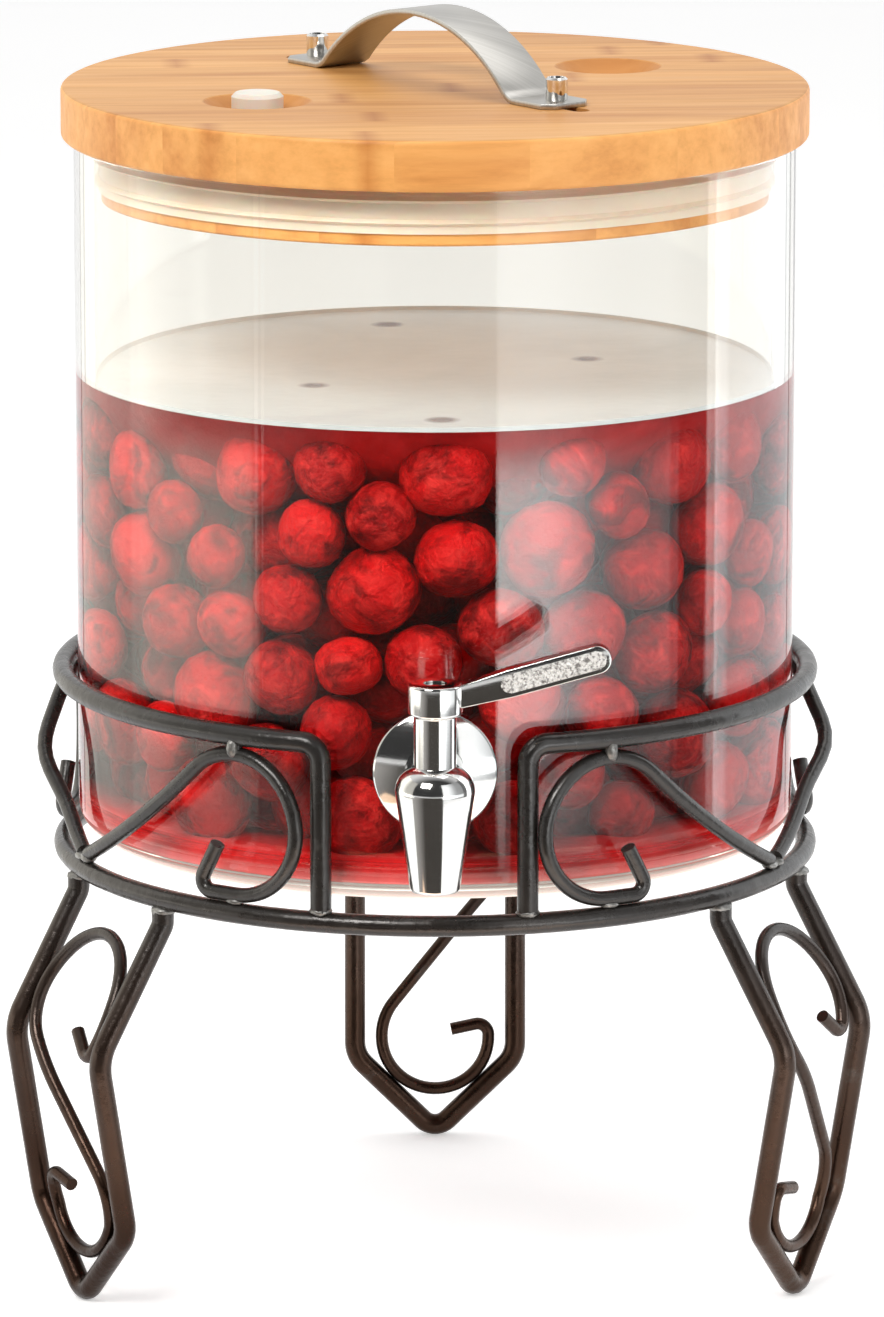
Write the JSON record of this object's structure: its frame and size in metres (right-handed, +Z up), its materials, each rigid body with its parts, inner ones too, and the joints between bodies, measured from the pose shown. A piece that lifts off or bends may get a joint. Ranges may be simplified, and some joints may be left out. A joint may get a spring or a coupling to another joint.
{
  "type": "glass beverage dispenser",
  "caption": "Straight glass drink jar with a wooden lid and a lever tap, standing in a three-legged stand of bent iron bar with scroll work.",
  "frame": {"origin": "on the jar's axis, at floor level between the three feet", "axes": "+Z up along the jar's axis, -Y towards the tap, +X to the right seen from the tap's side"},
  "size_m": [0.2283, 0.2413, 0.335],
  "materials": {
    "iron": "satin dark bronze lacquer on bent bar",
    "glass": "clear polished",
    "chrome": "mirror polished",
    "brushed_steel": "brushed along the strap",
    "bamboo": "oiled strip bamboo",
    "silicone": "white silicone",
    "black_rubber": "black nitrile"
  },
  "bodies": {
    "stand": {"lower_ring": "iron", "upper_ring": "iron", "rest_bar_left": "iron", "rest_bar_right": "iron", "gallery_scroll_left_1": "iron", "gallery_scroll_left_2": "iron", "gallery_scroll_left_3": "iron", "gallery_scroll_right_1": "iron", "gallery_scroll_right_2": "iron", "gallery_scroll_right_3": "iron", "leg_back": "iron", "leg_left": "iron", "leg_right": "iron", "leg_scroll_back": "iron", "leg_scroll_left": "iron", "leg_scroll_right": "iron"},
    "jar": {"jar": "glass", "tap_body": "chrome", "tap_flange": "chrome", "outer_washer": "silicone", "inner_washer": "silicone", "lock_nut": "chrome", "bonnet": "chrome"},
    "valve": {"valve_core": "chrome", "core_rings": "black_rubber", "lever": "chrome", "lever_screw": "chrome"},
    "lid": {"lid_board": "bamboo", "lid_plug": "bamboo", "lid_seal": "silicone", "handle_strap": "brushed_steel", "handle_screws": "chrome", "handle_nuts": "chrome"},
    "stopper": {"vent_stopper": "silicone"}
  },
  "joints": [
    {"name": "jar_lift", "type": "slide", "parent": "stand", "child": "jar", "axis": [0, 0, 1], "range_m": [0, 0.2]},
    {"name": "lever_turn", "type": "hinge", "parent": "jar", "child": "valve", "pos_m": [0, -0.113, 0.16], "axis": [0, 0, 1], "range_deg": [-90, 0]},
    {"name": "lid_lift", "type": "slide", "parent": "jar", "child": "lid", "axis": [0, 0, 1], "range_m": [0, 0.12]},
    {"name": "stopper_pull", "type": "slide", "parent": "lid", "child": "stopper", "axis": [0, 0, 1], "range_m": [0, 0.03]}
  ]
}
